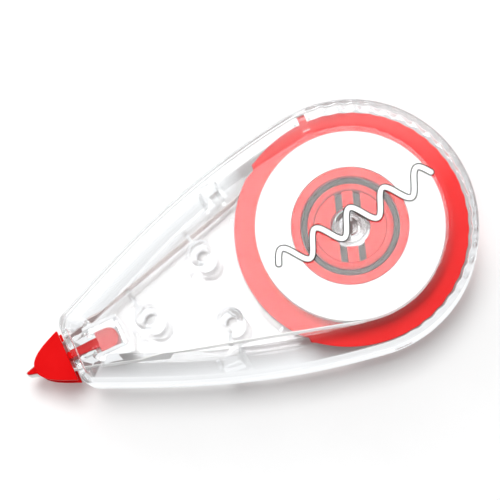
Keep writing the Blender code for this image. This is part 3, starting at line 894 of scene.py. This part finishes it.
def ribbon(name, reel_radius, side, reel_z, thickness, material):
    """One run of ribbon: level by the reel, then easing over to the tip's height."""
    path = np.array(ribbon_path(reel_radius, side))
    gone = travelled(path)
    share = np.clip((gone - 12.0 * MM) / (gone[STRAIGHT_STEPS] - 20.0 * MM), 0.0, 1.0)
    middle = reel_z + (SEAM_Z - reel_z) * share * share * (3 - 2 * share)
    slope = np.gradient(path, axis=0)
    slope /= np.linalg.norm(slope, axis=1)[:, None]
    across = np.stack([-slope[:, 1], slope[:, 0]], axis=1) * thickness / 2
    half = TAPE_WIDTH / 2
    rows = []
    for point, shift, z in zip(path, across, middle):
        near = point + shift
        far = point - shift
        rows.append([(*near, z + half), (*near, z - half), (*far, z - half), (*far, z + half)])
    return band(name, rows, material)


def band(name, rows, material):
    """A closed solid through rows of four corners."""
    last = (len(rows) - 1) * 4
    faces = strip(rows)
    faces += [(0, 1, 2, 3), (last + 3, last + 2, last + 1, last)]
    return mesh_object(name, [point for row in rows for point in row], faces, material, even=False)


def mirrored(upper):
    """A whole outline from its half at positive y."""
    lower = [(x, -y) for x, y in reversed(upper) if abs(y) > 1e-9]
    return list(upper) + lower


def build_tip(red):
    """The wedge, its two cheeks, and the neck and head behind it."""
    direction, normal = tangent(ROLL_OUTER + RIBBON_CLEARANCE, 1)
    touch = Vector((TIP_NOSE_X, 0.0)) + normal * TIP_NOSE_RADIUS
    corner = touch + direction * ((TIP_BASE_X - touch.x) / direction.x)
    turn = math.degrees(math.atan2(normal.y, normal.x))
    wedge = [tuple(corner)] + arc((TIP_NOSE_X, 0.0), TIP_NOSE_RADIUS, turn, 360 - turn, 10)
    wedge.append((corner.x, -corner.y))
    tape_half = TAPE_WIDTH / 2 + 0.15 * MM
    reach = tape_half + 0.4 * MM
    tip = slab("applicator_tip_red", wedge, SEAM_Z - reach, SEAM_Z + reach, red)
    cheek_upper = bezier(
        (TIP_BASE_X, 4.45 * MM),
        (-53.5 * MM, 3.45 * MM),
        (-56.3 * MM, 2.4 * MM),
        (-56.85 * MM, 0.6 * MM),
        16,
    )
    cheek_plan = rounded_path(mirrored(cheek_upper), 0.45 * MM, 4)
    added = []
    for side in (-1, 1):
        low, high = sorted((SEAM_Z + side * tape_half, SEAM_Z + side * (tape_half + 1.0 * MM)))
        added.append(slab(f"cheek_{side}", cheek_plan, low, high, edge=0.3 * MM))
    head_upper = bezier(
        (-42.2 * MM, 0.0),
        (-42.2 * MM, 1.3 * MM),
        (HEAD_MIDDLE_X + 0.9 * MM, 1.7 * MM),
        (HEAD_MIDDLE_X, 1.7 * MM),
        10,
    )
    head_upper.append((-45.7 * MM, 1.7 * MM))
    neck_upper = [(-45.0 * MM, 0.9 * MM), (-50.9 * MM, 0.6 * MM), (-52.1 * MM, 0.6 * MM)]
    head_plan = rounded_path(mirrored(head_upper), 0.15 * MM, 3)
    low = SEAM_Z - HEAD_HALF
    high = SEAM_Z + HEAD_HALF
    added.append(slab("head", head_plan, low, high, edge=0.12 * MM))
    added.append(slab("bar", mirrored(neck_upper), low + 0.02 * MM, high - 0.02 * MM, edge=0.12 * MM))
    return merge(tip, added)


# ---------------------------------------------------------------- print


def build_print(white_ink, dark_ink):
    """A plain wave printed across the front face, white with a thin dark outline."""
    made = []
    direction = (IMAGE_RIGHT.xy * 0.855 + IMAGE_UP.xy * 0.519).normalized()
    upright = Vector((-direction.y, direction.x))
    path = []
    for step in range(WAVE_STEPS + 1):
        t = step / WAVE_STEPS
        rise = WAVE_HEIGHT * math.sin(2 * math.pi * WAVE_COUNT * t)
        path.append(PRINT_MIDDLE + direction * (PRINT_LENGTH * (t - 0.5)) + upright * rise)
    for name, half, low, high, ink in (
        ("print_outline", 0.6 * MM, 14.972 * MM, 14.984 * MM, dark_ink),
        ("print_wave", 0.43 * MM, 14.984 * MM, 14.996 * MM, white_ink),
    ):
        line = stroke(name, path, half, low, high, ink)
        line.visible_shadow = False
        made.append(line)
    return made


def stroke(name, path, half, low, high, ink):
    """A flat line of even width with round ends."""
    ends = [math.radians(angle) for angle in (85, 70, 50, 30, 15)]
    spine = [(path[0], path[0] - path[1], angle) for angle in ends]
    spine += [(point, None, 0.0) for point in path]
    spine += [(path[-1], path[-1] - path[-2], angle) for angle in reversed(ends)]
    last = len(path) - 1
    rows = []
    for index, (point, outward, angle) in enumerate(spine):
        here = min(max(index - len(ends), 0), last)
        ahead = path[min(here + 1, last)] - path[max(here - 1, 0)]
        across = Vector((-ahead.y, ahead.x)).normalized() * half * math.cos(angle)
        if outward:
            point = point + outward.normalized() * half * math.sin(angle)
        left = point + across
        right = point - across
        rows.append([(*left, high), (*right, high), (*right, low), (*left, low)])
    return band(name, rows, ink)


# ---------------------------------------------------------------- stage


def build_stage():
    """A large pale floor just under the back shell."""
    floor_material, tree, output = new_material("stage_floor")
    shader = node(tree, "ShaderNodeBsdfPrincipled", {"Roughness": 0.75, "Specular IOR Level": 0.2})
    fibre = noise(tree, 60.0, 6.0)
    colour = tones(tree, fibre, [(0.3, (0.93, 0.93, 0.93)), (0.7, (0.95, 0.95, 0.95))])
    link(tree, colour, shader.inputs["Base Color"])
    link(tree, shader.outputs[0], output.inputs["Surface"])
    plan = ((-1, -1), (1, -1), (1, 1), (-1, 1))
    points = [(x * FLOOR_REACH, y * FLOOR_REACH, FLOOR_Z) for x, y in plan]
    floor = mesh_object("stage_floor", points, [(0, 1, 2, 3)], floor_material, even=False)


def build_world():
    """Bright tent for what is mirrored or seen through plastic, dimmer as a source of light."""
    world = bpy.data.worlds.new("surroundings")
    bpy.context.scene.world = world
    world.use_nodes = True
    tree = world.node_tree
    background = tree.nodes["Background"]
    background.inputs["Color"].default_value = (1.0, 1.0, 1.0, 1.0)
    look = node(tree, "ShaderNodeTexCoord").outputs["Generated"]
    tent = mapped(tree, towards(tree, look, TOWARDS_SOFTBOX), -0.6, 0.9, TENT_LOW, TENT_HIGH)
    curtain = mapped(tree, towards(tree, look, TOWARDS_CURTAIN), 0.43, 0.9, 0.0, CURTAIN_STRENGTH)
    path = node(tree, "ShaderNodeLightPath").outputs
    mirrored_ray = math_node(
        tree, "SUBTRACT", path["Is Glossy Ray"], path["Is Transmission Ray"], clamp=True
    )
    dimmer = between(tree, path["Is Diffuse Ray"], 1.0, AMBIENT_SHARE)
    even = math_node(tree, "MULTIPLY", tent, dimmer)
    extra = math_node(tree, "MULTIPLY", curtain, mirrored_ray)
    total = math_node(tree, "ADD", even, extra)
    seen = math_node(tree, "MULTIPLY", total, horizon_shade(tree, look))
    link(tree, seen, background.inputs["Strength"])


def towards(tree, look, direction):
    """How far a look turns towards a level direction, a little above it."""
    return along_direction(tree, look, (direction.x, direction.y, AIM_HEIGHT))


def horizon_shade(tree, look):
    """Darkens what is less than about 20 degrees up, so that clear edges draw thin grey lines."""
    return mapped(tree, split_axes(tree, look)["Z"], 0.3, 0.42, HORIZON_STRENGTH, 1.0)


def area_light(name, location, size, watts):
    """A rectangular light that points at the object's middle."""
    data = bpy.data.lights.new(name, "AREA")
    data.shape = "RECTANGLE"
    data.size, data.size_y = size
    data.energy = watts
    made = bpy.data.objects.new(name, data)
    bpy.context.scene.collection.objects.link(made)
    made.location = location
    made.rotation_mode = "QUATERNION"
    made.rotation_quaternion = (LIT_CENTRE - location).to_track_quat("-Z", "Y")
    return made


def build_lights():
    """A panel that is only mirrored, a softbox that is only a lamp, and a weak fill from the side."""
    panel = area_light("mirrored_panel", PANEL_PLACE, PANEL_SIZE, PANEL_POWER)
    panel.visible_diffuse = False
    key = area_light("softbox", SOFTBOX_PLACE, SOFTBOX_SIZE, SOFTBOX_POWER)
    key.visible_glossy = False
    area_light("side_fill", FILL_PLACE, FILL_SIZE, FILL_POWER)


def build_camera():
    """A long lens that looks down a little from the lower right."""
    sideways = IMAGE_RIGHT * math.tan(math.radians(LEAN_RIGHT))
    lengthways = IMAGE_UP * math.tan(math.radians(LEAN_DOWN))
    back = (sideways - lengthways + UP).normalized()
    data = bpy.data.cameras.new("camera")
    data.lens = LENS
    distance = VIEW_WIDTH * data.lens / data.sensor_width
    camera = bpy.data.objects.new("camera", data)
    bpy.context.scene.collection.objects.link(camera)
    camera.location = VIEW_CENTRE + back * distance
    right = IMAGE_RIGHT - back * IMAGE_RIGHT.dot(back)
    right.normalize()
    up = back.cross(right)
    turn = Matrix((right, up, back)).transposed()
    camera.rotation_mode = "QUATERNION"
    camera.rotation_quaternion = turn.to_quaternion()
    data.clip_start = 0.01
    data.clip_end = 10.0
    bpy.context.scene.camera = camera
    bpy.context.scene.view_settings.view_transform = "Standard"


def allow_many_bounces():
    """Lets light cross all the walls of the clear shells."""
    cycles = bpy.context.scene.cycles
    cycles.max_bounces = 32
    cycles.transmission_bounces = 32
    cycles.glossy_bounces = 16
    cycles.transparent_max_bounces = 64


# ---------------------------------------------------------------- assembly


def place(obj, body, slot_name, *nodes):
    """Rides a finished piece on its body, in place of CAD nodes."""
    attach(obj, body)
    if nodes:
        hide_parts(*nodes)


def make_materials():
    """Every piece's material, by a short name."""
    satin = (0.35, 0.55)
    matt = (0.5, 0.7)
    ink = ((0.3, 0.45), 3000.0, 0.003 * MM)
    return {
        # The back shell passes less light than the front. This is partly the plastic's own loss and
        # partly painted shade on the floor seen under the casing.
        "back clear": clear_plastic("clear_back_plastic", 0.85),
        "front clear": clear_plastic("clear_front_plastic", 0.95),
        "red": moulded("red_moulded", (0.66, 0.003, 0.004), (0.72, 0.006, 0.007), gloss=0.04),
        "reel red": moulded(
            "reel_red_moulded", (0.87, 0.010, 0.010), (0.93, 0.016, 0.016), satin, gloss=0.1
        ),
        "rubber": moulded(
            "clutch_rubber", (0.03, 0.018, 0.015), (0.06, 0.04, 0.036), satin, 2500.0, 0.01 * MM
        ),
        "acetal": moulded("washer_acetal", (0.78, 0.78, 0.76), (0.86, 0.86, 0.84), (0.35, 0.5)),
        "roll": wound("wound_tape", (0.80, 0.80, 0.79), (0.93, 0.93, 0.92), matt),
        "used": wound("wound_film", (0.62, 0.52, 0.50), (0.78, 0.68, 0.66), (0.2, 0.4)),
        "tape": moulded(
            "coated_tape", (0.86, 0.86, 0.85), (0.93, 0.93, 0.92), matt, 1800.0, 0.006 * MM
        ),
        "bare": film("bare_film", (0.86, 0.74, 0.72), 0.35),
        "white ink": moulded("white_ink", (0.9, 0.9, 0.9), (0.97, 0.97, 0.97), *ink),
        "dark ink": moulded("dark_ink", (0.015, 0.014, 0.014), (0.035, 0.033, 0.033), *ink),
    }


def place_casing(looks):
    """Both shells and the washer under the take-up reel."""
    place(build_back_shell(looks["back clear"]), "casing", "clear_plastic", "rear_shell")
    place(build_front_shell(looks["front clear"]), "casing", "clear_plastic", "front_shell")
    washer = plain_ring("thrust_washer_disc", (4.4, 3.3), (1.35, 1.85), looks["acetal"], 0.08)
    place(washer, "casing", "washer", "thrust_washer")


def place_takeup(looks):
    """The take-up reel and what turns with it. A dark disc under the retainer's slits is painted
    shade, so that the slits read deep and dark.
    """
    rubber = looks["rubber"]
    place(build_takeup_reel(looks["reel red"]), "takeup", "red_plastic", "takeup_reel")
    place(build_retainer(looks["reel red"]), "takeup", "red_plastic", "hub_retainer")
    place(rubber_ring("clutch_ring_upper", 11.5 * MM, rubber), "takeup", "rubber", "clutch_ring_front")
    place(rubber_ring("clutch_ring_lower", 9.5 * MM, rubber), "takeup", "rubber", "clutch_ring_rear")
    # Painted shade: a dark disc under the slits stands in for the shade deep inside them.
    slit_shade_disc = plain_ring("painted_slit_shade", (5.8, 3.35), (10.55, 10.85), rubber, 0.06)
    place(slit_shade_disc, "takeup", "rubber")
    used = plain_ring("used_film_wound", (WOUND_OUTER / MM, 16.0), (1.75, 6.75), looks["used"], 0.05)
    place(used, "takeup", "ribbon", "used_ribbon_roll")
    slip = plain_ring("slip_washer_disc", (9.2, 7.2), (7.75, 8.0), looks["acetal"], 0.05)
    place(slip, "takeup", "washer", "slip_washer")


def place_supply(looks):
    """The supply core and the tape wound on it."""
    core = plain_ring("supply_core_red", (9.65, 8.2), (8.2, 13.4), looks["reel red"], 0.2)
    place(core, "supply", "red_plastic", "supply_core")
    radii = (ROLL_OUTER / MM, 9.72)
    roll = plain_ring("tape_roll_white", radii, (8.35, 13.35), looks["roll"], 0.06, steps=220)
    place(roll, "supply", "tape", "correction_tape_roll")


def place_ribbons(looks):
    """The two runs of ribbon, baked in place."""
    reel_edge = ROLL_OUTER + RIBBON_CLEARANCE
    feed_run = ribbon("feed_tape", reel_edge, -1, SUPPLY_MID_Z, 0.14 * MM, looks["tape"])
    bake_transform(feed_run)
    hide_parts("feed_strand", "tip_ribbon")
    reel_edge = WOUND_OUTER + RIBBON_CLEARANCE
    back_run = ribbon("return_film", reel_edge, 1, TAKEUP_MID_Z, 0.1 * MM, looks["bare"])
    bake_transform(back_run)
    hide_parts("return_strand")


def main():
    looks = make_materials()
    place_casing(looks)
    place_takeup(looks)
    place_supply(looks)
    place(build_tip(looks["red"]), "tip", "red_plastic", "applicator_tip")
    place_ribbons(looks)
    for printed in build_print(looks["white ink"], looks["dark ink"]):
        place(printed, "casing", "tape")
    build_stage()
    build_world()
    build_lights()
    build_camera()
    allow_many_bounces()


main()
